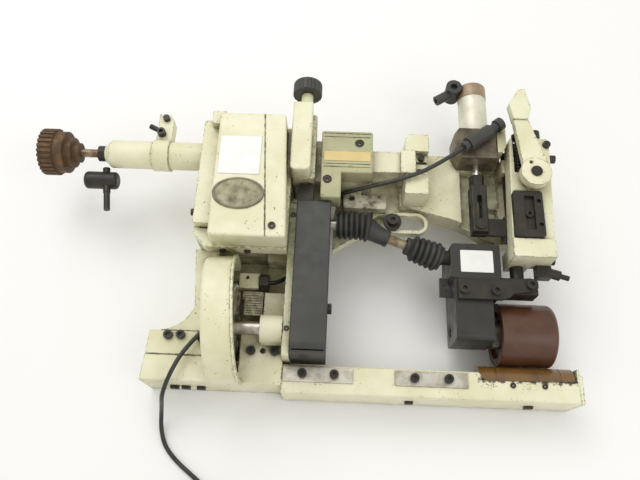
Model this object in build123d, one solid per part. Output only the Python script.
from build123d import *
import math
import os

# Roller puller for an industrial sewing machine, lying on its back as on a bench.
# Millimetres. +X runs along the arm towards the rollers, +Y towards the air cylinder, +Z up.

# ---------------------------------------------------------------- driving dimensions
ORIGIN = (-3.25, -0.5)  # middle of the outline seen from above, moved to X 0, Y 0 on export

ARM_END = 250.0
ARM_Y = (-158.5, -133.5)
ARM_TOP = 46.0
BLOCK_TOP = 47.0
BLOCK_FRONT = -152.5

ROLLER_R = 29.0
ROLLER_AXIS = (-96.0, 31.0)
LOWER_ROLLER_R = 14.1
LOWER_AXIS = (-139.9, 31.0)
LOWER_SHAFT_R = 4.0
BUSH_R = 5.25
RUN_GAP = 0.05  # radial play of a shaft in its bush

GEAR_MODULE = 1.0
GEAR_TEETH = 74
PINION_TEETH = 18
GEAR_BACKLASH = 0.25
GEAR_CENTRES = GEAR_MODULE * (GEAR_TEETH + PINION_TEETH) / 2
CROSS_Y = -106.6
CROSS_AXIS = (CROSS_Y, LOWER_AXIS[1] + math.sqrt(GEAR_CENTRES**2 - (CROSS_Y - LOWER_AXIS[0]) ** 2))
CROSS_SHAFT_R = 6.0
GEAR_X = (-67.0, -57.0)

OUTPUT_AXIS = (-4.2, 63.0)
OUTPUT_SHAFT_R = 5.0
BELT_PITCH = 5.08
SMALL_TEETH = 9
LARGE_TEETH = 18
BELT_GAP = 0.35
BELT_THICK = 1.5

INPUT_AXIS = (59.5, 70.0)
INPUT_SHAFT_R = 4.0
INPUT_PULLEY_R = 22.5
INPUT_PULLEY_TEETH = 28
TUBE_R = 13.5

BAR_AXIS = (198.0, 52.0)  # X, Z of the presser bar
BAR_R = 6.25
CYLINDER_AXIS = (164.0, 60.0)  # X, Z
BARREL_R = 14.0
PISTON_R = 12.4
ROD_R = 3.5
LEVER_PIVOT = (211.0, 43.0)
KNOB_AXIS = (-3.5, 94.0)  # X, Z

JOINT_1 = Vector(44, -4.2, 63)
JOINT_2 = Vector(125, -28.4, 50)
BALL_R = 5.0
CUP_BORE_R = 5.5
CUP_R = 7.0
HEAD_INPUT_AXIS = (JOINT_2.Y, JOINT_2.Z)
HEAD_SHAFT_R = 4.0
HEAD_PULLEY_R = 5.8

HOSE_R = 2.0
HOSE_FLOOR = 2.1  # height of the hose's middle where it lies on the bench


# ---------------------------------------------------------------- helpers
def block(x, y, z):
    """A box between two corners, given as (low, high) pairs."""
    size = (x[1] - x[0], y[1] - y[0], z[1] - z[0])
    return Pos((x[0] + x[1]) / 2, (y[0] + y[1]) / 2, (z[0] + z[1]) / 2) * Box(*size)


def rounded(x, y, z, radius, edges="Z"):
    """A box whose edges along one axis are rounded."""
    body = block(x, y, z)
    axis = {"X": Axis.X, "Y": Axis.Y, "Z": Axis.Z}[edges]
    return fillet(body.edges().filter_by(axis), radius)


def rod_x(x0, x1, axis, radius):
    """A cylinder along X; axis is its (Y, Z)."""
    return Pos((x0 + x1) / 2, axis[0], axis[1]) * Rot(0, 90, 0) * Cylinder(radius, x1 - x0)


def rod_y(y0, y1, axis, radius):
    """A cylinder along Y; axis is its (X, Z)."""
    return Pos(axis[0], (y0 + y1) / 2, axis[1]) * Rot(90, 0, 0) * Cylinder(radius, y1 - y0)


def rod_z(z0, z1, axis, radius):
    """A cylinder along Z; axis is its (X, Y)."""
    return Pos(axis[0], axis[1], (z0 + z1) / 2) * Cylinder(radius, z1 - z0)


def plate(points, z0, z1):
    """A flat plate with the given corners, seen along Z."""
    outline = make_face(Polyline(*points, close=True))
    return Pos(0, 0, z0) * extrude(outline, z1 - z0)


def side_face(profile, x0, x1):
    """Extrudes a sketch drawn in (Y, Z) from x0 to x1."""
    return extrude(Plane((x0, 0, 0), x_dir=(0, 1, 0), z_dir=(1, 0, 0)) * profile, x1 - x0)


def stadium_x(x0, x1, axis_a, axis_b, radius_a, radius_b):
    """A belt-shaped solid along X round two (Y, Z) centres."""
    ends = [Pos(axis_a[0], axis_a[1]) * Circle(radius_a), Pos(axis_b[0], axis_b[1]) * Circle(radius_b)]
    outline = make_hull(ends[0].edges() + ends[1].edges())
    return side_face(outline, x0, x1)


def cap_screw(x, y, z, radius=4.0, height=4.0, socket=2.2):
    """A socket head lying on a face at height z."""
    head = rod_z(z, z + height, (x, y), radius)
    return head - Pos(x, y, z + height) * extrude(RegularPolygon(socket, 6), -2.4)


def along(start, end, radius):
    """A cylinder between two points."""
    line = Vector(*end) - Vector(*start)
    return extrude(Plane(start, z_dir=line) * Circle(radius), line.length)


def ring_x(x0, x1, axis, outer, inner):
    return rod_x(x0, x1, axis, outer) - rod_x(x0 - 1, x1 + 1, axis, inner)


def involute(radius, base):
    angle = math.acos(min(1.0, base / radius))
    return math.tan(angle) - angle


def gear(x0, x1, axis, teeth, tooth_at):
    """A spur gear along X with one tooth centred at the angle tooth_at."""
    pitch = GEAR_MODULE * teeth / 2
    base = pitch * math.cos(math.radians(20))
    tip = pitch + 0.9 * GEAR_MODULE
    root = pitch - 1.2 * GEAR_MODULE
    half = math.pi / (2 * teeth) - GEAR_BACKLASH / (2 * pitch) + involute(pitch, base)
    flank = [(r, half - involute(max(r, base), base)) for r in (root, pitch, tip)]
    points = []
    for tooth in range(teeth):
        middle = tooth_at + 2 * math.pi * tooth / teeth
        points += [(r * math.cos(middle - a), r * math.sin(middle - a)) for r, a in flank]
        points += [(r * math.cos(middle + a), r * math.sin(middle + a)) for r, a in reversed(flank)]
    outline = Pos(axis[0], axis[1]) * make_face(Polyline(*points, close=True))
    return side_face(outline, x0, x1)


def toothed_wheel(x0, x1, axis, radius, teeth, depth):
    """A timing pulley: square-cut grooves round a disc."""
    points = []
    for tooth in range(teeth):
        middle = 2 * math.pi * tooth / teeth
        step = math.pi / (2 * teeth)
        for r, a in ((radius, -1), (radius, 1), (radius - depth, 1.35), (radius - depth, 2.65)):
            points.append((r * math.cos(middle + a * step), r * math.sin(middle + a * step)))
    outline = Pos(axis[0], axis[1]) * make_face(Polyline(*points, close=True))
    return side_face(outline, x0, x1)


def biarc(start, start_dir, end, end_dir):
    """Two arcs that meet smoothly and leave both ends in the given directions."""
    chord = end - start
    both = start_dir + end_dir
    spread = 2 * (1 - start_dir.dot(end_dir))
    reach = (-chord.dot(both) + math.sqrt(chord.dot(both) ** 2 + spread * chord.dot(chord))) / spread
    first = start + start_dir * reach
    second = end - end_dir * reach
    middle = (first + second) * 0.5
    turn = (second - first).normalized()
    return [TangentArc(start, middle, tangent=start_dir), TangentArc(middle, end, tangent=turn)]


def tube_along(edges, radius):
    path = Wire(edges)
    return sweep(Plane(path @ 0, z_dir=path % 0) * Circle(radius), path=path)


def bend_radii(points):
    """The largest arc that each corner of a route leaves room for."""
    radii = []
    for before, here, after in zip(points, points[1:], points[2:]):
        run_in = Vector(*here) - Vector(*before)
        run_out = Vector(*after) - Vector(*here)
        half_turn = math.radians(run_in.get_angle(run_out)) / 2
        radii.append(0.45 * min(run_in.length, run_out.length) / math.tan(half_turn))
    return radii


def hose_tube(name, points):
    """A hose: straight runs joined by arcs."""
    radii = bend_radii(points)
    path = FilletPolyline(*points, radius=radii)
    tube = sweep(Plane(path @ 0, z_dir=path % 0) * Circle(HOSE_R), path=path)
    section = math.pi * HOSE_R**2
    print(name, "radii", [round(r, 1) for r in radii])
    print(name, "length", round(path.length, 1), "volume ratio", round(tube.volume / path.length / section, 4))
    return tube


def gap_between(points, skip):
    """Least distance between points of one path that lie over skip steps apart."""
    least = 1e9
    for i, first in enumerate(points):
        for second in points[i + skip :]:
            least = min(least, (first - second).length)
    return least


# ---------------------------------------------------------------- arm and lower roller
PAD_SCREWS = [(3.0, -141.4), (31.3, -141.5), (102.1, -141.9), (132.1, -141.5)]
SET_SCREWS = [(188.4, -144.5), (216.3, -144.3)]
ARM_SIDE_SCREWS = [99.7, 207.1]
POCKET_X = (158.0, 245.5)


def arm_casting():
    arm = rounded((-15, ARM_END - 3), ARM_Y, (0, ARM_TOP), 2.0, "X")
    arm -= rod_x(-16, ARM_END, LOWER_AXIS, BUSH_R)
    arm -= rod_x(*POCKET_X, LOWER_AXIS, LOWER_ROLLER_R + 0.9)
    notch = [(158.0, -133.0), (165.5, -141.5), (245.5, -139.0), (245.5, -133.0)]
    arm -= plate(notch, LOWER_AXIS[1], ARM_TOP + 1)
    return arm


def arm_pads():
    pads = []
    for x in ((-13.7, 48.0), (85.0, 149.2)):
        pads.append(block(x, (-148.7, -135.6), (ARM_TOP, ARM_TOP + 1.0)))
    return Compound(pads)


def arm_screws():
    heads = [cap_screw(x, y, ARM_TOP + 1.0) for x, y in PAD_SCREWS]
    heads += [cap_screw(x, y, ARM_TOP, 2.4, 1.2, 1.2) for x, y in SET_SCREWS]
    for x in ARM_SIDE_SCREWS:
        heads.append(block((x - 3.6, x + 3.6), (ARM_Y[0] - 2.5, ARM_Y[0]), (19.5, 26.5)))
    return Compound(heads)


def arm_end_cap():
    cap = rounded((ARM_END - 3, ARM_END), ARM_Y, (0, ARM_TOP), 2.0, "X")
    cap += block((ARM_END - 3, ARM_END - 0.8), (ARM_Y[1], ARM_Y[1] + 6), (0, ARM_TOP - 4))
    return cap - rod_x(ARM_END - 4, ARM_END - 1, LOWER_AXIS, BUSH_R)


def lower_bushes():
    places = [(-79.5, -72.5), (-51.5, -40.0), (-15.0, 0.0), (146.0, 157.5), (245.6, ARM_END - 1.0)]
    hole = LOWER_SHAFT_R + RUN_GAP
    return Compound([ring_x(x0, x1, LOWER_AXIS, BUSH_R, hole) for x0, x1 in places])


def lower_shaft():
    shaft = rod_x(-78, ARM_END - 1.5, LOWER_AXIS, LOWER_SHAFT_R)
    return shaft + rod_x(161, 243.5, LOWER_AXIS, 8.0)


def lower_roller():
    tyre = rod_x(160.0, 244.0, LOWER_AXIS, LOWER_ROLLER_R) - rod_x(161, 243.5, LOWER_AXIS, 8.0)
    tyre -= rod_x(150, 162, LOWER_AXIS, LOWER_SHAFT_R)
    tyre -= rod_x(243, 250, LOWER_AXIS, LOWER_SHAFT_R)
    for x in (174.0, 231.0):
        tyre -= ring_x(x, x + 1.2, LOWER_AXIS, LOWER_ROLLER_R + 1, LOWER_ROLLER_R - 0.4)
    return tyre


MESH_ANGLE = math.atan2(LOWER_AXIS[1] - CROSS_AXIS[1], LOWER_AXIS[0] - CROSS_AXIS[0])


def pinion():
    return gear(-70, -54, LOWER_AXIS, PINION_TEETH, MESH_ANGLE + math.pi) - rod_x(
        -71, -53, LOWER_AXIS, LOWER_SHAFT_R
    )


# ---------------------------------------------------------------- base block and column
BLOCK_SCREWS = [(-119.1, -111.9), (-107.9, -111.4), (-89.0, -113.2), (-43.5, -123.3), (-22.5, -123.0)]
BLOCK_SIDE_SCREWS = [-113.3, -102.8, -88.9]


def gear_clearance():
    return rod_x(-70.5, -53.5, CROSS_AXIS, 39.5)


def base_block():
    corners = [(-136.6, -107.0), (-15.0, -107.0), (-15.0, BLOCK_FRONT), (-140.0, BLOCK_FRONT)]
    body = plate(corners, 0, BLOCK_TOP)
    body = fillet(body.edges().filter_by(Axis.X).group_by(Axis.Z)[-1], 1.6)
    body -= block((-141, -84), (-129.8, -128.6), (BLOCK_TOP - 1.2, BLOCK_TOP + 1))
    body -= gear_clearance()
    body -= rod_x(-72, -52, LOWER_AXIS, 11.2)
    body -= rod_x(-79.5, -14, LOWER_AXIS, BUSH_R)
    return body - rod_z(38, BLOCK_TOP + 1, (-33.0, -122.9), 2.6)


def base_screws():
    heads = [cap_screw(x, y, BLOCK_TOP) for x, y in BLOCK_SCREWS]
    for x in BLOCK_SIDE_SCREWS:
        heads.append(block((x - 3.6, x + 3.6), (BLOCK_FRONT - 3, BLOCK_FRONT), (18.5, 25.5)))
    return Compound(heads)


def frame_column():
    flare = Wire([
        Edge.make_line((-127, -107, 0), (-80, -107, 0)),
        Edge.make_line((-80, -107, 0), (-80, -28, 0)),
        Edge.make_line((-80, -28, 0), (-104, -28, 0)),
        Edge.make_line((-104, -28, 0), (-98.5, -84, 0)),
        Edge.make_three_point_arc((-98.5, -84, 0), (-109.5, -99.8, 0), (-127, -107, 0)),
    ])
    left_wall = extrude(make_face(flare), BLOCK_TOP)
    column = left_wall + block((-36, -15), (-107, -28), (0, BLOCK_TOP))
    column += block((-80, -36), (-107, -28), (0, 12))
    column += block((-99, -15), (-28, 70), (0, 30))
    column -= block((-90, -24), (-20, 62), (-1, 22))
    column -= block((-81, -35), (-107.5, -28), (12, 60))
    column -= block((-44, -14), (-68.5, -38), (30, 60))
    return column - rod_z(36, BLOCK_TOP + 1, (-87.9, -82.4), 2.4)


def side_plate():
    web = block((-14.9, -8.6), (-131.0, 14.7), (0, 72))
    web = fillet(web.edges().filter_by(Axis.X), 3)
    for axis in (OUTPUT_AXIS, CROSS_AXIS):
        web -= rod_x(-16, -8, axis, 8.0)
    web -= block((-16, -8), (-55, -30), (18, 44))
    return web


def side_plate_screws():
    return Compound([cap_screw(-11.6, y, 72, 2.2, 1.0, 1.0) for y in (0.5, -107.8)])


def stop_block():
    body = rounded((-59.5, -40.8), (-65.5, -51.0), (12, 50), 1.2)
    body -= rod_x(-60, -40, (-58.8, 45.0), HOSE_R + 1.0)
    return body - rod_z(45, 51, (-52.0, -55.2), 1.6)


def hose_nut():
    hexagon = Pos(-58.8, 45.0) * RegularPolygon(8.6, 6)
    nut = side_face(hexagon, -40.8, -32.0)
    return nut - rod_x(-42, -31, (-58.8, 45.0), HOSE_R + 1.0)


def ribbed_panel():
    panel = block((-56.0, -36.5), (-89.3, -67.0), (40, 43.5))
    for rib in range(9):
        y = -87.4 + rib * 2.4
        panel += block((-55, -37.5), (y, y + 1.1), (43.5, 44.5))
    wall = block((-38.5, -36.5), (-89.3, -67.0), (12, 40))
    return (panel + wall) - gear_clearance()


def bearing_blocks():
    bodies = []
    for x0, x1, half in ((-74.0, -69.0, 9.5), (-35.0, -15.2, 12.0)):
        post = block((x0, x1), (CROSS_Y - half, CROSS_Y + half), (BLOCK_TOP, CROSS_AXIS[1]))
        post += rod_x(x0, x1, CROSS_AXIS, half)
        bodies.append(post - rod_x(x0 - 1, x1 + 1, CROSS_AXIS, 8.0))
    return Compound(bodies)


def cross_bushes():
    hole = CROSS_SHAFT_R + RUN_GAP
    return Compound([ring_x(x0, x1, CROSS_AXIS, 8.0, hole) for x0, x1 in ((-74, -69), (-35, -15.2))])


def drive_guard():
    low, high = (CROSS_Y, CROSS_AXIS[1]), (-92.0, CROSS_AXIS[1])
    shell = stadium_x(-80.5, -53.5, low, high, 49, 49)
    shell = fillet(shell.edges().group_by(Axis.X)[0], 3.5)
    shell -= stadium_x(-77.5, -50, low, high, 46, 46)
    shell += stadium_x(-55.5, -53.5, low, high, 50.2, 50.2) - stadium_x(-60, -50, low, high, 46, 46)
    turned = Pos(-66.5, CROSS_Y, 0) * Rot(0, 0, 5) * Pos(66.5, -CROSS_Y, 0) * shell
    turned -= block((-100, -30), (-170, -20), (-10, BLOCK_TOP))
    return turned - along(HOSE_EXIT - EXIT_DIR * 14, HOSE_EXIT + EXIT_DIR * 8, 4.5)


def cross_shaft():
    return rod_x(-74.5, 15.5, CROSS_AXIS, CROSS_SHAFT_R)


def drive_gear():
    wheel = gear(*GEAR_X, CROSS_AXIS, GEAR_TEETH, MESH_ANGLE + math.pi / GEAR_TEETH)
    wheel -= rod_x(-68, -56, CROSS_AXIS, CROSS_SHAFT_R)
    for hole in range(6):
        angle = math.radians(60 * hole)
        centre = (CROSS_AXIS[0] + 22 * math.cos(angle), CROSS_AXIS[1] + 22 * math.sin(angle))
        wheel -= rod_x(-68, -56, centre, 7.0)
    return wheel


# ---------------------------------------------------------------- belt case
SMALL_R = SMALL_TEETH * BELT_PITCH / (2 * math.pi)
LARGE_R = LARGE_TEETH * BELT_PITCH / (2 * math.pi)
COVER_X = (-8.2, 23.4)
COVER_Y = (-130.5, 10.5)
COVER_Z = (36.0, 84.0)


def belt_cover():
    shell = block(COVER_X, COVER_Y, COVER_Z)
    front = shell.edges().filter_by(Axis.X).group_by(Axis.Z)[-1]
    shell = fillet(front.sort_by(Axis.Y)[0], 9)
    shell = fillet(shell.edges().group_by(Axis.Z)[-1], 1.2)
    shell -= block((COVER_X[0] + 2.2, COVER_X[1] - 2.2), (COVER_Y[0] + 2.2, COVER_Y[1] - 2.2), (30, 81.8))
    shell -= rod_x(-9, 25, OUTPUT_AXIS, 8.0)
    shell -= rod_x(-9, 0, CROSS_AXIS, 8.0)
    return shell


def belt_back_plate():
    return block((-8.2, 23.4), COVER_Y, (33.0, 36.0))


def cover_nut():
    hexagon = Pos(-85.5, 60.0) * RegularPolygon(5.0, 6)
    return side_face(hexagon, COVER_X[1], COVER_X[1] + 3.6)


def small_pulley():
    wheel = toothed_wheel(2, 14, OUTPUT_AXIS, SMALL_R, SMALL_TEETH, 1.1)
    return wheel - rod_x(1, 15, OUTPUT_AXIS, OUTPUT_SHAFT_R)


def large_pulley():
    wheel = toothed_wheel(2, 14, CROSS_AXIS, LARGE_R, LARGE_TEETH, 1.1)
    return wheel - rod_x(1, 15, CROSS_AXIS, CROSS_SHAFT_R)


def timing_belt():
    inner = (SMALL_R + BELT_GAP, LARGE_R + BELT_GAP)
    outer = (inner[0] + BELT_THICK, inner[1] + BELT_THICK)
    loop = stadium_x(3, 13, OUTPUT_AXIS, CROSS_AXIS, *outer)
    return loop - stadium_x(2, 14, OUTPUT_AXIS, CROSS_AXIS, *inner)


# ---------------------------------------------------------------- gearbox
CASE_X = (-99.0, -15.0)
CASE_Z = (30.0, 88.0)


def gearbox_case():
    case = block(CASE_X, (-28, 84), CASE_Z)
    flange = plate([(-99, 84), (-15, 84), (-15, -41), (-87, -41), (-99, -28)], 76, 88)
    case += flange
    case = fillet(case.edges().filter_by(Axis.Z).group_by(Axis.Y)[-1], 3)
    case -= block((-94, -20), (-23, 79), (35, 89))
    case -= rod_x(-100, -93, INPUT_AXIS, 11)
    for x0, x1 in ((-100, -93), (-21, -14)):
        case -= rod_x(x0, x1, OUTPUT_AXIS, 9)
    return case - rod_x(-21, -17, INPUT_AXIS, 8)


def gearbox_cover():
    corners = [(-82, 84.5), (-21, 84.5), (-14.6, -39), (-82, -39)]
    cover = plate(corners, 88, 112)
    cover = fillet(cover.edges().filter_by(Axis.Z), 3)
    cover = fillet(cover.edges().group_by(Axis.Z)[-1], 2.2)
    cover -= block((-78, -26), (-20, 76), (87, 108))
    seam = [(-41.6, 90.0), (-40.6, 90.0), (-31.4, -45.0), (-32.4, -45.0)]
    cover -= plate(seam, 110.8, 113)
    ridge = rounded((-99, -82), (-22, 84), (88, 97), 1.5)
    ridge += block((-90, -78), (76, 89), (88, 106)) - block((-82, -70), (70, 84.5), (80, 113))
    return cover + ridge - rod_y(60, 90, (-30, 95), 0.8)


def gearbox_screws():
    heads = [cap_screw(-27.0, -29.0, 112, 3.2, 1.6, 1.6)]
    heads += [along((x, -41.0, 82.0), (x, -42.6, 82.0), 3.0) for x in (-72.0, -50.0)]
    return Compound(heads)


def level_plug():
    return rod_x(-104.5, -99, (0.4, 70.0), 5.2) + rod_x(-107.5, -104.5, (0.4, 70.0), 3.4)


def badge():
    return Pos(-58.6, 1.0, 112) * extrude(Ellipse(22.8, 15.2), 1.0)


def gearbox_bearings():
    rings = [ring_x(-99, -94, INPUT_AXIS, 11, INPUT_SHAFT_R + RUN_GAP)]
    rings.append(ring_x(-20, -17, INPUT_AXIS, 8, INPUT_SHAFT_R + RUN_GAP))
    for x0, x1 in ((-99, -94), (-20, -15)):
        rings.append(ring_x(x0, x1, OUTPUT_AXIS, 9, OUTPUT_SHAFT_R + RUN_GAP))
    return Compound(rings)


def feed_link():
    """Eccentric strap, clutch lever and their pin, with clearance for the throw."""
    strap = ring_x(-61, -51, INPUT_AXIS, 18.0, 14.4) & block((-70, -40), (40, 79), (51, 87.6))
    strap += block((-60, -52), (22, 42.5), (60, 66))
    lever = ring_x(-61, -51, OUTPUT_AXIS, 17.5, 14.4)
    lever += block((-60, -52), (12.8, 22), (58, 68))
    return strap + lever


def clutch_drum():
    return ring_x(-62, -50, OUTPUT_AXIS, 14.0, OUTPUT_SHAFT_R)


def output_shaft():
    shaft = rod_x(-98.5, 34, OUTPUT_AXIS, OUTPUT_SHAFT_R)
    cup = rod_x(34, 46, OUTPUT_AXIS, CUP_R) - rod_x(38, 47, OUTPUT_AXIS, CUP_BORE_R)
    return shaft + cup


def eccentric():
    offset = (INPUT_AXIS[0] + 2.5, INPUT_AXIS[1])
    return rod_x(-60.5, -51.5, offset, 11.0) - rod_x(-61, -51, INPUT_AXIS, INPUT_SHAFT_R)


# ---------------------------------------------------------------- input line
def rear_tube():
    return ring_x(-134, -99, INPUT_AXIS, TUBE_R, 10.5)


def nose_sleeve():
    cone = Pos(-194, INPUT_AXIS[0], INPUT_AXIS[1]) * Rot(0, -90, 0) * Cone(TUBE_R, 8.0, 6)
    sleeve = rod_x(-191, -150, INPUT_AXIS, TUBE_R) + cone
    return sleeve - rod_x(-205, -149, INPUT_AXIS, INPUT_SHAFT_R + RUN_GAP)


def nose_nut():
    nut = rod_x(-204, -197, INPUT_AXIS, 7.6)
    return nut - rod_x(-205, -196, INPUT_AXIS, INPUT_SHAFT_R + RUN_GAP)


def clamp_collar():
    ring = ring_x(-150, -134, INPUT_AXIS, 15.2, 10.5)
    ear = plate([(-149.5, 70), (-134.5, 70), (-134.5, 96), (-139, 103), (-149.5, 103)], 64, 76)
    ear -= rod_x(-151, -133, INPUT_AXIS, 15.0)
    return ring + ear


def clamp_screws():
    heads = [cap_screw(-144.5, 80.5, 76, 4.0, 6.0)]
    heads.append(along((-150.8, 88.5, 70.0), (-159.0, 92.5, 70.0), 2.6))
    heads.append(rod_z(76, 80, (-142.0, 97.5), 3.2))
    return Compound(heads)


def support_rod():
    rod = along((-198.0, 47.5, 62.0), (-193.857, 21.753, 60.816), 3.5)
    return rod + along((-193.857, 21.753, 60.816), (-191.0, 4.0, 60.0), 3.0)


def cross_block():
    body = rod_x(-217, -185, (35.5, 60.0), 8.5)
    body = fillet(body.edges(), 3.5)
    body -= along((-198.0, 47.5, 62.0), (-191.0, 4.0, 60.0), 3.5)
    return body


def input_shaft():
    return rod_x(-254, -17.5, INPUT_AXIS, INPUT_SHAFT_R)


def input_pulley():
    wheel = toothed_wheel(-256.5, -243, INPUT_AXIS, INPUT_PULLEY_R, INPUT_PULLEY_TEETH, 1.6)
    wheel += rod_x(-243, -234, INPUT_AXIS, 20.0)
    wheel += rod_x(-234, -228, INPUT_AXIS, 14.5)
    wheel += rod_x(-228, -222, INPUT_AXIS, 9.5)
    wheel -= rod_x(-254, -221, INPUT_AXIS, INPUT_SHAFT_R)
    return wheel - ring_x(-257, -250, INPUT_AXIS, 17.5, 8.0)


# ---------------------------------------------------------------- feed regulator
SLIDER_Y = (38.0, 52.0)


def regulator_base():
    body = rounded((-14.8, 7.0), (31, 100), (70, 88), 2.5)
    return body


def regulator_column():
    body = block((-15.5, 3.0), (29.5, 102), (88, 108))
    low = body.edges().filter_by(Axis.Z).group_by(Axis.Y)[0]
    body = fillet(low, 5)
    body = fillet(body.edges().group_by(Axis.Z)[-1], 1.6)
    body -= block((-12.3, 0.0), (34, 98), (89.5, 105.5))
    return body - rod_y(97, 103, KNOB_AXIS, 3.0 + RUN_GAP)


def regulator_post():
    return rod_y(102, 117.6, KNOB_AXIS, 5.6) - rod_y(101, 119, KNOB_AXIS, 3.0 + RUN_GAP)


def regulator_knob():
    knob = rod_y(118, 131, KNOB_AXIS, 14.0)
    knob = fillet(knob.edges().group_by(Axis.Y)[-1], 2)
    for rib in range(20):
        angle = math.radians(18 * rib)
        groove = (KNOB_AXIS[0] + 14.4 * math.cos(angle), KNOB_AXIS[1] + 14.4 * math.sin(angle))
        knob -= rod_y(117, 132, groove, 1.0)
    return knob - rod_y(117, 127, KNOB_AXIS, 3.0)


def lead_screw():
    return rod_y(35.5, 127, KNOB_AXIS, 3.0)


def regulator_slider():
    body = block((-11.6, -0.7), SLIDER_Y, (90.2, 104.8))
    return body - rod_y(37, 53, KNOB_AXIS, 3.0 + RUN_GAP)


def lock_block():
    return rounded((-8.5, 6.4), (11.2, 28.5), (52, 80), 1.0)


# ---------------------------------------------------------------- transfer castings
def connecting_block():
    body = rounded((-14.9, 61.0), (37.0, 82.0), (28, 70), 3)
    return body - block((-8, 54), (44, 76), (27, 60))


def olive_cover():
    corners = [(12.2, 82), (60.7, 82), (60.7, 37.6), (31.6, 37.6), (31.6, 11.2), (12.8, 11.2)]
    cover = plate(corners, 70, 90)
    outer = cover.edges().filter_by(Axis.Z).sort_by(Axis.Y)
    cover = fillet(outer[-2:] + outer[:2], 2.4)
    cover = fillet(cover.edges().group_by(Axis.Z)[-1], 1.4)
    cavity = [(15, 79), (58, 79), (58, 40.4), (28.8, 40.4), (28.8, 14), (15.5, 14)]
    cover -= plate(cavity, 69, 87)
    for y in (79.2, 75.4, 46.4, 43.2):
        cover -= block((14.5, 58.5), (y - 0.3, y + 0.3), (89.5, 91))
    for x, y in ((48.0, 68.9), (18.7, 29.9)):
        cover -= rod_z(88.2, 91, (x, y), 4.2)
    return cover


def olive_cover_screws():
    return Compound([cap_screw(x, y, 88.2, 3.6, 1.3, 1.6) for x, y in ((48.0, 68.9), (18.7, 29.9))])


def beam():
    body = block((61.0, 88.3), (46.6, 69.0), (56, 76))
    return body - block((61, 86), (48, 67), (55, 73))


def clamp_blocks():
    upper = plate([(92.6, 70), (115.5, 70), (115.5, 88.7), (96.5, 88.7), (92.6, 82)], 50, 78)
    lower = rounded((92.0, 114.2), (24.2, 45.0), (50, 78), 1.5)
    middle = block((102.4, 115.0), (45.2, 69.8), (50, 71))
    front = rounded((88.3, 102.2), (45.0, 69.6), (50, 80), 0.8)
    for y in (60.5, 52.0):
        middle -= block((104, 114), (y - 1.2, y + 1.2), (66, 72))
    return Compound([upper, lower, middle, front])


def clamp_bolts():
    return Compound([rod_z(71, 75, (108.5, 64.8), 3.0), rod_z(71, 74, (106.5, 49.2), 3.4)])


def flange_block():
    body = rounded((35.0, 76.0), (16.5, 34.8), (40, 58), 2.0)
    body -= block((52, 77), (30.5, 36), (39, 59))
    return body - rod_z(50, 60, (43.0, 27.0), 3.0)


def slotted_link():
    centre_y = 7.0
    link = block((64.0, 106.5), (centre_y - 11, centre_y + 9.2), (40, 48))
    link += block((77.0, 106.5), (centre_y + 9, centre_y + 11), (40, 48))
    link += rod_z(40, 48, (106.5, centre_y), 11)
    slot = block((72, 106.5), (centre_y - 7.5, centre_y + 7.5), (39, 51))
    slot += rod_z(39, 51, (106.5, centre_y), 7.5)
    slot += rod_z(39, 51, (72, centre_y), 7.5)
    return link - slot


def link_bolt():
    bolt = rod_z(48, 51, (83.0, 7.0), 8.6) + rod_z(51, 56, (83.0, 7.0), 5.0)
    return bolt - Pos(83.0, 7.0, 56) * extrude(RegularPolygon(2.6, 6), -2.4)


# ---------------------------------------------------------------- arch frame and presser
def arch_frame():
    web = [
        (26.0, -21.0), (40.0, -11.5), (51.5, -5.0), (72.0, 9.0), (94.0, 24.5), (113.4, 18.5),
        (141.0, 12.0), (160.0, 3.5), (172.0, -5.0), (182.4, -7.0), (182.4, -21.0), (186.0, -22.0),
        (187.0, -8.0), (212.0, -8.0), (228.0, -8.0), (228.0, 82.0), (120.0, 81.5), (90.0, 81.5),
        (62.0, 81.5), (62.0, 36.5), (30.0, 36.5), (26.0, 15.0),
    ]
    body = plate(web, 28, 40)
    pad = [
        (90.0, 24.6), (94.0, 24.5), (113.4, 18.5), (141.0, 12.0), (150.0, 8.2),
        (150.0, 64.0), (172.0, 64.0), (172.0, 81.5), (90.0, 81.5),
    ]
    body += plate(pad, 40, 50)
    body += block((212, 228), (-8, 82), (40, 62.6))
    body += rounded((214, 228), (-4, 78), (0, 28), 3)
    body -= block((174, 190), (30, 69), (34, 41))
    body -= rounded((175, 188), (16, 29), (27, 41), 1.5)
    return body


def presser_housing():
    shell = plate([(187.5, -37), (226.0, -37), (231.5, 88), (193.0, 88)], 63, 80)
    shell = fillet(shell.edges().filter_by(Axis.Z).group_by(Axis.Y)[-1], 4)
    shell = fillet(shell.edges().group_by(Axis.Z)[-1], 1.2)
    shell += block((187.6, 225.6), (-37, -19.5), (80, 83.5))
    for y0, y1 in ((-37, -22), (58, 72)):
        shell += block((188.5, 208.5), (y0, y1), (42.2, 63))
    shell += block((208.5, 226.0), (-37, -22), (52, 63))
    shell -= rod_y(-40, 80, BAR_AXIS, BAR_R + RUN_GAP)
    shell -= block((195.6, 206.4), (49.6, 88.5), (66.4, 84))
    return shell


def white_bracket():
    body = plate([(182.2, 72.5), (187.0, 72.5), (190.8, 80), (190.8, 101), (182.2, 101)], 50, 77)
    foot = block((173.0, 190.8), (72.5, 81.4), (40, 50))
    return body + foot


def guide_plate():
    body = rounded((190.0, 217.0), (-18.7, 27.3), (80, 86), 3)
    body -= block((200, 209), (-12, 22), (82, 87))
    for x, y in ((213.2, 17.0), (213.6, -6.5)):
        body -= rod_z(83, 87, (x, y), 2.0)
    return body


def guide_screw():
    return cap_screw(204.5, 5.0, 82, 3.8, 2.6, 1.9)


SPRING_X, SPRING_Z = 201.0, 75.0
SPRING_Y = (50.6, 87.4)
SPRING_R = 3.9
WIRE_R = 0.75


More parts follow.
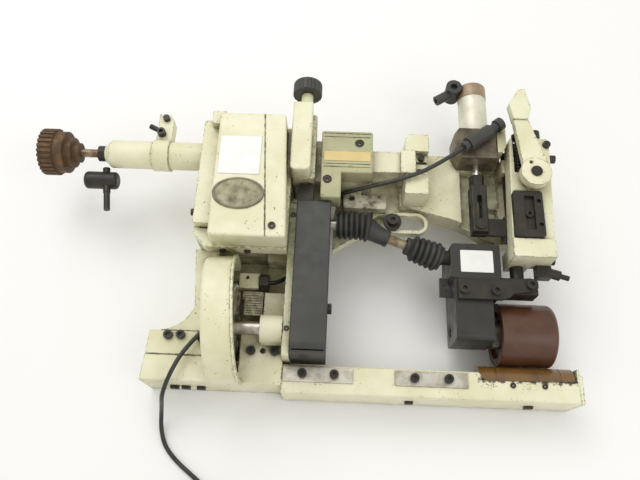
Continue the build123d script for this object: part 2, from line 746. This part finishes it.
def presser_spring():
    """A compression spring along Y: one unbroken wire, a biarc for each half turn."""
    turns = 10
    rise = (SPRING_Y[1] - SPRING_Y[0] - 2 * WIRE_R) / turns
    slope = rise / (2 * math.pi * SPRING_R)

    def station(half):
        angle = math.pi * half
        y = SPRING_Y[0] + WIRE_R + rise * half / 2
        place = Vector(SPRING_X + SPRING_R * math.cos(angle), y, SPRING_Z + SPRING_R * math.sin(angle))
        heading = Vector(-math.sin(angle), slope, math.cos(angle)).normalized()
        return place, heading

    edges = []
    for half in range(2 * turns):
        edges += biarc(*station(half), *station(half + 1))
    points = [edge @ t for edge in edges for t in (0, 0.25, 0.5, 0.75)]
    print("spring gap", round(gap_between(points, 10) - 2 * WIRE_R, 2))
    return tube_along(edges, WIRE_R)


def spring_guide():
    pin = rod_y(49.6, 88.5, (SPRING_X, SPRING_Z), 1.6)
    return pin + rod_y(88.5, 93.0, (SPRING_X, SPRING_Z), 4.2)


def housing_bolts():
    heads = [along((219.4, 88.0, 74.0), (219.4, 97.5, 74.0), 5.4)]
    heads.append(along((227.8, 80.0, 80.0), (227.8, 80.0, 83.2), 3.6))
    heads.append(along((231.4, 70.0, 71.0), (238.0, 70.0, 71.0), 4.0))
    return Compound(heads)


def lock_screw():
    body = block((213.6, 227.0), (-48.5, -37.0), (52.0, 62.0))
    body += along((227.0, -42.5, 57.0), (236.0, -45.0, 57.0), 4.6)
    body += along((236.0, -45.0, 57.0), (244.0, -47.2, 57.0), 2.4)
    return body + rod_x(226.6, 232.0, (-29.0, 57.0), 5.4)


def hand_lever():
    hub = rod_z(86.6, 95, LEVER_PIVOT, 14)
    neck = plate([(199.8, 51.5), (194.0, 100.0), (208.0, 100.0), (224.2, 47.0), (211, 43)], 87.5, 94)
    paddle = plate([(194.0, 99.0), (208.0, 99.0), (212.0, 113.0), (207.5, 134.0), (200.5, 133.0),
                    (190.8, 116.0)], 86.6, 96.0)
    lever = hub + neck + fillet(paddle.edges().group_by(Axis.Z)[-1], 1.2)
    lever -= rod_z(80, 100, LEVER_PIVOT, 5.0 + RUN_GAP)
    return lever - rod_z(80, 100, (206.8, 52.5), 1.8)


def lever_pin():
    return rod_z(80, 96.4, LEVER_PIVOT, 5.0) + (rod_z(80, 86.2, LEVER_PIVOT, 9.0))


# ---------------------------------------------------------------- air cylinder
def cylinder_block():
    corners = [(146.5, 66), (181.7, 66), (181.7, 99), (146.0, 99), (141.2, 92), (141.2, 77)]
    body = plate(corners, 50, 77)
    body = fillet(body.edges().group_by(Axis.Z)[-1], 1.0)
    return body - rod_y(65, 100, CYLINDER_AXIS, ROD_R + RUN_GAP)


def cylinder_barrel():
    return rod_y(99, 141, CYLINDER_AXIS, BARREL_R) - rod_y(98, 142, CYLINDER_AXIS, PISTON_R + RUN_GAP)


def cylinder_cap():
    cap = rod_y(141, 156, CYLINDER_AXIS, BARREL_R + 0.3)
    return fillet(cap.edges().group_by(Axis.Y)[-1], 1.6)


def upper_fitting():
    banjo = rod_z(51, 71, (144.5, 151.9), 8.0)
    banjo -= rod_z(66.5, 72, (144.5, 151.9), 3.6)
    banjo -= rod_y(141, 156, CYLINDER_AXIS, BARREL_R + 0.3)
    port = along((139.5, 147.5, 62.0), (127.0, 139.5, 62.0), 5.0)
    return banjo + port - along((132.0, 142.7, 62.0), (125.0, 138.2, 62.0), 2.4)


FITTING_END = Vector(147.5, 71.0, 86.0)
FITTING_DIR = Vector(-0.79, -0.61, -0.03).normalized()


def speed_controller():
    body = along((173.5, 91.0, 84.5), FITTING_END + FITTING_DIR * -5, 7.0)
    body += along(FITTING_END + FITTING_DIR * -5, FITTING_END, 5.0)
    body += along((172.0, 90.0, 84.5), (181.0, 97.5, 84.5), 4.6)
    body += rod_z(77, 84, (160.0, 81.0), 6.0)
    body += along((180.0, 96.5, 84.5), (185.0, 100.5, 84.5), 6.4)
    return body


def piston_rod():
    rod = rod_y(44, 104, CYLINDER_AXIS, ROD_R)
    return rod + rod_y(104, 111, CYLINDER_AXIS, PISTON_R)


def clevis():
    x, z = CYLINDER_AXIS
    nut = Pos(x, 41, z) * Rot(-90, 0, 0) * extrude(RegularPolygon(7.4, 6), 12)
    fork = rounded((x - 7.5, x + 7.5), (-7.0, 41), (z - 7.5, z + 7.5), 1.5, "Y")
    fork -= block((x - 9, x + 9), (-8, 22), (z - 2.6, z + 2.6))
    fork -= rounded((x - 2.2, x + 2.2), (6, 31), (z - 9, z + 9), 2.0)
    head = nut + fork
    head -= rod_y(43, 54, CYLINDER_AXIS, ROD_R)
    return head - rod_z(z - 9, z + 9, (x, 0), 3.0)


def clevis_pin():
    x, z = CYLINDER_AXIS
    return rod_z(z - 8.3, z + 8.3, (x, 0), 3.0) + rod_z(z + 7.5, z + 9.2, (x, 0), 5.0)


def lift_arm():
    x, z = CYLINDER_AXIS
    tongue = block((x - 8, 190), (-8.5, 8.5), (z - 2.2, z + 1.7))
    ring = rounded((187.6, 208.2), (-8.5, 11.5), (43.5, 61.7), 3.0, "Y")
    arm = tongue + ring - rod_y(-10, 13, BAR_AXIS, BAR_R)
    return arm - rod_z(z - 9, z + 9, (x, 0), 3.0)


def presser_bar():
    return rod_y(-66, 84, BAR_AXIS, BAR_R)


# ---------------------------------------------------------------- presser head
def head_housing():
    upper = rounded((135.2, 181), (-52, -18), (18, 62), 4.0)
    lower = block((138, 172), (-108.5, -50), (18, 61))
    lower = fillet(lower.edges().filter_by(Axis.X).group_by(Axis.Y)[0], 5)
    body = upper + lower
    body += block((128, 140), (-64, -46), (38, 42)) + block((172, 181), (-66, -50), (30, 61))
    body -= rod_z(37, 43, (133.6, -55.8), 3.0)
    body -= stadium_x(146, 165, HEAD_INPUT_AXIS, ROLLER_AXIS, 8.3, 8.3)
    body -= rod_x(134, 138.5, HEAD_INPUT_AXIS, CUP_R + 0.4)
    body -= rod_x(138, 176, HEAD_INPUT_AXIS, 7.0)
    return body - rod_x(137, 173, ROLLER_AXIS, 7.0)


def head_bushes():
    hole = HEAD_SHAFT_R + RUN_GAP
    rings = [ring_x(x0, x1, HEAD_INPUT_AXIS, 7.0, hole) for x0, x1 in ((138.5, 145.5), (165.5, 175.5))]
    rings += [ring_x(x0, x1, ROLLER_AXIS, 7.0, hole) for x0, x1 in ((138.5, 145.5), (165.5, 172.0))]
    return Compound(rings)


def clamp_plate():
    outline = [
        (140.5, -72.4), (179.0, -72.4), (186.0, -70.5), (190.0, -66.5), (206.0, -64.0),
        (212.3, -60.5), (212.3, -54.5), (206.0, -51.3), (190.0, -53.0), (140.5, -53.6),
    ]
    return plate(outline, 62, 66)


def bar_bracket():
    body = block((181.0, 213.0), (-66.0, -50.5), (44.5, 62))
    return body - rod_y(-66.5, -49, BAR_AXIS, BAR_R)


def head_screws():
    return Compound([cap_screw(x, y, 66, 4.6, 3.4, 2.4) for x, y in
                     ((145.6, -63.6), (174.2, -64.4), (206.0, -57.7))])


def head_belt():
    inner, outer = HEAD_PULLEY_R + 0.3, HEAD_PULLEY_R + 1.7
    loop = stadium_x(151, 159, HEAD_INPUT_AXIS, ROLLER_AXIS, outer, outer)
    return loop - stadium_x(150, 160, HEAD_INPUT_AXIS, ROLLER_AXIS, inner, inner)


def head_input_shaft():
    cup = rod_x(121, 136, HEAD_INPUT_AXIS, CUP_R) - rod_x(120, 133, HEAD_INPUT_AXIS, CUP_BORE_R)
    pulley = toothed_wheel(150, 160, HEAD_INPUT_AXIS, HEAD_PULLEY_R, 12, 0.7)
    return cup + rod_x(136, 175, HEAD_INPUT_AXIS, HEAD_SHAFT_R) + pulley


def roller_shaft():
    pulley = toothed_wheel(150, 160, ROLLER_AXIS, HEAD_PULLEY_R, 12, 0.7)
    return rod_x(139.5, 229, ROLLER_AXIS, HEAD_SHAFT_R) + pulley


def roller_hub():
    hub = rod_x(172.6, 184, ROLLER_AXIS, 13.0) + rod_x(184, 228, ROLLER_AXIS, 20.0)
    hub -= rod_x(172, 229, ROLLER_AXIS, HEAD_SHAFT_R)
    for angle in (0.62, 2.5):
        centre = (ROLLER_AXIS[0] + 8.5 * math.cos(angle + math.pi / 2), ROLLER_AXIS[1] + 8.5 * math.sin(angle))
        hub -= rod_x(172, 175, centre, 2.2)
    for y in (12.6, -10.5):
        lift = math.sqrt(13.0**2 - y**2)
        hub += Pos(177.6, ROLLER_AXIS[0] + y, ROLLER_AXIS[1] + lift) * Cylinder(3.4, 5)
    return hub


def upper_roller():
    tyre = rod_x(179.6, 230, ROLLER_AXIS, ROLLER_R)
    tyre = fillet(tyre.edges().group_by(Axis.X)[-1], 5)
    tyre = fillet(tyre.edges().group_by(Axis.X)[0], 0.8)
    tyre -= rod_x(178, 184, ROLLER_AXIS, 22.0)
    return tyre - rod_x(183, 231, ROLLER_AXIS, 20.0)


# ---------------------------------------------------------------- slanted shaft and bellows
SLANT = (JOINT_2 - JOINT_1).normalized()


def slant_at(x):
    """The point of the slanted shaft's axis at a given X."""
    return JOINT_1 + SLANT * ((x - JOINT_1.X) / SLANT.X)


def slanted_shaft():
    shaft = along(JOINT_1, JOINT_2, 3.5)
    shaft += along(slant_at(74), slant_at(99), 4.5)
    return shaft + Pos(JOINT_1) * Sphere(BALL_R) + Pos(JOINT_2) * Sphere(BALL_R)


def ruled_tube(stations, side):
    """A ruled loft through circles; each station is a centre, a direction and a radius."""
    circles = [Plane(centre, x_dir=side, z_dir=heading) * Circle(r) for centre, heading, r in stations]
    return loft(circles, ruled=True)


def rib_steps(count):
    """Where the four circles of each rib lie, as shares of the length, and which are crests."""
    steps = []
    for rib in range(count):
        for share, crest in ((0.08, 0), (0.34, 1), (0.62, 1), (0.9, 0)):
            steps.append(((rib + share) / count, crest))
    return steps


def bellows_1():
    straight = Vector(1, 0, 0)
    outer = [(Vector(28.5, -4.2, 63), straight, 12.2)]
    for share, crest in rib_steps(6):
        x = 30.5 + 29.5 * share
        blend = min(1.0, max(0.0, (x - 50.0) / 20.0))
        centre = Vector(x, -4.2, 63) * (1 - blend) + slant_at(x) * blend
        heading = (straight * (1 - blend) + SLANT * blend).normalized()
        outer.append((centre, heading, 13.6 if crest else 11.0))
    for x, radius in ((63.0, 10.4), (69.0, 8.6), (77.5, 7.4)):
        outer.append((slant_at(x) * 0.7 + Vector(x, -4.2, 63) * 0.3 if x < 69 else slant_at(x), SLANT, radius))
    inner = [(Vector(28.0, -4.2, 63), straight, 9.4), (Vector(56.0, -5.6, 62.2), straight, 9.4)]
    inner += [(slant_at(66.0), SLANT, 5.4), (slant_at(78.5), SLANT, 5.4)]
    return ruled_tube(outer, (0, 1, 0)) - ruled_tube(inner, (0, 1, 0))


def bellows_2():
    outer = [(slant_at(94.5), SLANT, 7.6), (slant_at(98.5), SLANT, 8.4)]
    for share, crest in rib_steps(5):
        x = 100.0 + 26.0 * share
        grow = 1.6 * share
        outer.append((slant_at(x), SLANT, (12.4 if crest else 10.2) + grow))
    outer.append((slant_at(126.8), SLANT, 11.4))
    inner = [(slant_at(93.5), SLANT, 5.4), (slant_at(101.0), SLANT, 5.4)]
    inner += [(slant_at(110.0), SLANT, 9.6), (slant_at(128.0), SLANT, 9.9)]
    return ruled_tube(outer, (0, 1, 0)) - ruled_tube(inner, (0, 1, 0))


# ---------------------------------------------------------------- air hose
HOSE_EXIT = Vector(-84.1, -105.3, 56.0)
EXIT_DIR = Vector(-17.8, -20.2, -0.6).normalized()
HOSE_HELD = [
    tuple(FITTING_END),
    (121.0, 50.5, 85.0),
    (89.0, 36.5, 82.0),
    (58.0, 31.5, 74.0),
    (34.0, 28.5, 65.0),
    (17.0, 24.0, 50.0),
    (7.5, 14.5, 31.0),
    (1.5, -6.0, 22.5),
    (-7.0, -34.0, 26.0),
    (-15.0, -48.0, 35.5),
    (-24.5, -57.9, 44.4),
    (-42.0, -58.8, 45.0),
    (-60.5, -58.8, 45.0),
    (-72.0, -65.0, 50.5),
    (-74.0, -81.0, 55.5),
    tuple(HOSE_EXIT - EXIT_DIR * 13.0),
    tuple(HOSE_EXIT),
]
COIL_OUT = 30.0
COIL_STEP = 2.5  # the spiral draws in by this much in each half turn
COIL_HALVES = 6
COIL_LAYER = 5.0
COIL_TAIL = 20.0
COIL_START = Vector(-66.0, -248.0, HOSE_FLOOR)
COIL_DIR = Vector(0.8, -0.6, 0)
HOSE_FREE = [
    tuple(HOSE_EXIT),
    (-101.9, -125.5, 55.4),
    (-111.0, -149.0, 59.0),
    (-118.0, -165.0, 48.0),
    (-121.5, -170.5, 29.0),
    (-124.5, -177.0, 13.5),
    (-125.3, -189.0, 4.4),
    (-120.5, -204.0, HOSE_FLOOR),
    (-108.0, -217.0, HOSE_FLOOR),
    tuple(COIL_START - COIL_DIR * 31),
    tuple(COIL_START - COIL_DIR * 2 * HOSE_R),
]


def hose_grommet():
    ring = along(HOSE_EXIT - EXIT_DIR * 6, HOSE_EXIT, 4.3)
    return ring - along(HOSE_EXIT - EXIT_DIR * 7, HOSE_EXIT + EXIT_DIR, HOSE_R)


def coil_route():
    """Two layers: the loops spiral in, climb in the half turn where they reverse, and spiral out."""
    out = Vector(0.6, 0.8, 0)  # from the coil's middle to its start
    centre = COIL_START - out * COIL_OUT
    side = COIL_DIR
    reach = [COIL_OUT - COIL_STEP * k for k in range(COIL_HALVES + 1)]
    reach += list(reversed(reach))
    edges = [Line(COIL_START - side * 2 * HOSE_R, COIL_START)]
    height = 0.0
    for half in range(len(reach) - 1):
        sign = 1 if half % 2 == 0 else -1
        start = centre + out * (sign * reach[half]) + Vector(0, 0, height)
        climb = COIL_LAYER if half == COIL_HALVES else 0.0
        end = centre - out * (sign * reach[half + 1]) + Vector(0, 0, height + climb)
        edges += biarc(start, side * sign, end, side * -sign)
        height += climb
    last = edges[-1] @ 1
    heading = edges[-1] % 1
    edges.append(Line(last, last + heading * COIL_TAIL))
    return edges


def hose_coil():
    edges = coil_route()
    points = [edge @ t for edge in edges for t in (0, 0.2, 0.4, 0.6, 0.8)]
    print("coil length", round(sum(edge.length for edge in edges), 1))
    print("coil gap", round(gap_between(points, 8) - 2 * HOSE_R, 2))
    return tube_along(edges, HOSE_R)


def hose_end_fitting():
    last = coil_route()[-1]
    start, heading = last @ 1, last % 1
    body = along(start, start + heading * 14, 4.8)
    body += along(start + heading * 14, start + heading * 18, 5.6)
    return body + along(start + heading * 18, start + heading * 25, 3.6)


# ---------------------------------------------------------------- write every piece
def held_hose():
    return hose_tube("held hose", HOSE_HELD)


def free_hose():
    return hose_tube("free hose", HOSE_FREE)


NODES = {
    "arm_casting": (arm_casting, arm_end_cap),
    "arm_pads": (arm_pads,),
    "frame_screws": (
        arm_screws, base_screws, side_plate_screws, gearbox_screws, level_plug, clamp_screws,
        olive_cover_screws, clamp_bolts, link_bolt, guide_screw, housing_bolts, spring_guide,
        lever_pin,
    ),
    "frame_bearings": (lower_bushes, cross_bushes, gearbox_bearings),
    "lower_roller_shaft": (lower_shaft, pinion),
    "lower_roller": (lower_roller,),
    "base_block": (base_block,),
    "frame_column": (frame_column, stop_block),
    "side_plate": (side_plate,),
    "bearing_blocks": (bearing_blocks, ribbed_panel),
    "drive_guard": (drive_guard,),
    "cross_shaft": (cross_shaft, large_pulley),
    "drive_gear": (drive_gear,),
    "belt_cover": (belt_cover, belt_back_plate),
    "timing_belt": (timing_belt,),
    "gearbox_case": (gearbox_case,),
    "gearbox_cover": (gearbox_cover,),
    "gearbox_badge": (badge,),
    "feed_link": (feed_link,),
    "output_shaft": (output_shaft, small_pulley, clutch_drum),
    "input_shaft": (input_shaft, eccentric),
    "input_pulley": (input_pulley,),
    "drive_tube": (rear_tube, nose_sleeve),
    "clamp_collar": (clamp_collar,),
    "support_bracket": (support_rod, cross_block),
    "dark_fittings": (nose_nut, hose_nut, cover_nut, lock_block, lock_screw, hose_grommet),
    "regulator_column": (regulator_base, regulator_column, regulator_post),
    "regulator_knob": (regulator_knob, lead_screw),
    "regulator_slider": (regulator_slider,),
    "connecting_block": (connecting_block,),
    "olive_cover": (olive_cover,),
    "beam_and_clamps": (beam, clamp_blocks),
    "flange_block": (flange_block,),
    "slotted_link": (slotted_link,),
    "arch_frame": (arch_frame,),
    "cylinder_bracket": (white_bracket,),
    "presser_housing": (presser_housing,),
    "guide_plate": (guide_plate,),
    "presser_spring": (presser_spring,),
    "hand_lever": (hand_lever,),
    "cylinder_block": (cylinder_block,),
    "cylinder_barrel": (cylinder_barrel,),
    "cylinder_cap": (cylinder_cap,),
    "air_fittings": (upper_fitting, speed_controller),
    "piston_rod": (piston_rod,),
    "clevis": (clevis, clevis_pin),
    "lift_arm": (lift_arm,),
    "presser_bar": (presser_bar,),
    "head_housing": (head_housing, head_bushes),
    "head_clamp": (clamp_plate, bar_bracket, head_screws),
    "head_belt": (head_belt,),
    "head_input_shaft": (head_input_shaft,),
    "upper_roller_core": (roller_shaft, roller_hub),
    "upper_roller": (upper_roller,),
    "slanted_shaft": (slanted_shaft,),
    "bellows": (bellows_1, bellows_2),
    "air_hose_held": (held_hose,),
    "air_hose_free": (free_hose,),
    "air_hose_coil": (hose_coil,),
    "hose_end_fitting": (hose_end_fitting,),
}

os.makedirs("parts", exist_ok=True)
for node, pieces in NODES.items():
    solids = []
    for piece in pieces:
        solids += piece().solids()
    shape = Compound(solids) if len(solids) > 1 else solids[0]
    shape = Pos(-ORIGIN[0], -ORIGIN[1], 0) * shape
    shape.label = node
    export_step(shape, f"parts/{node}.step")
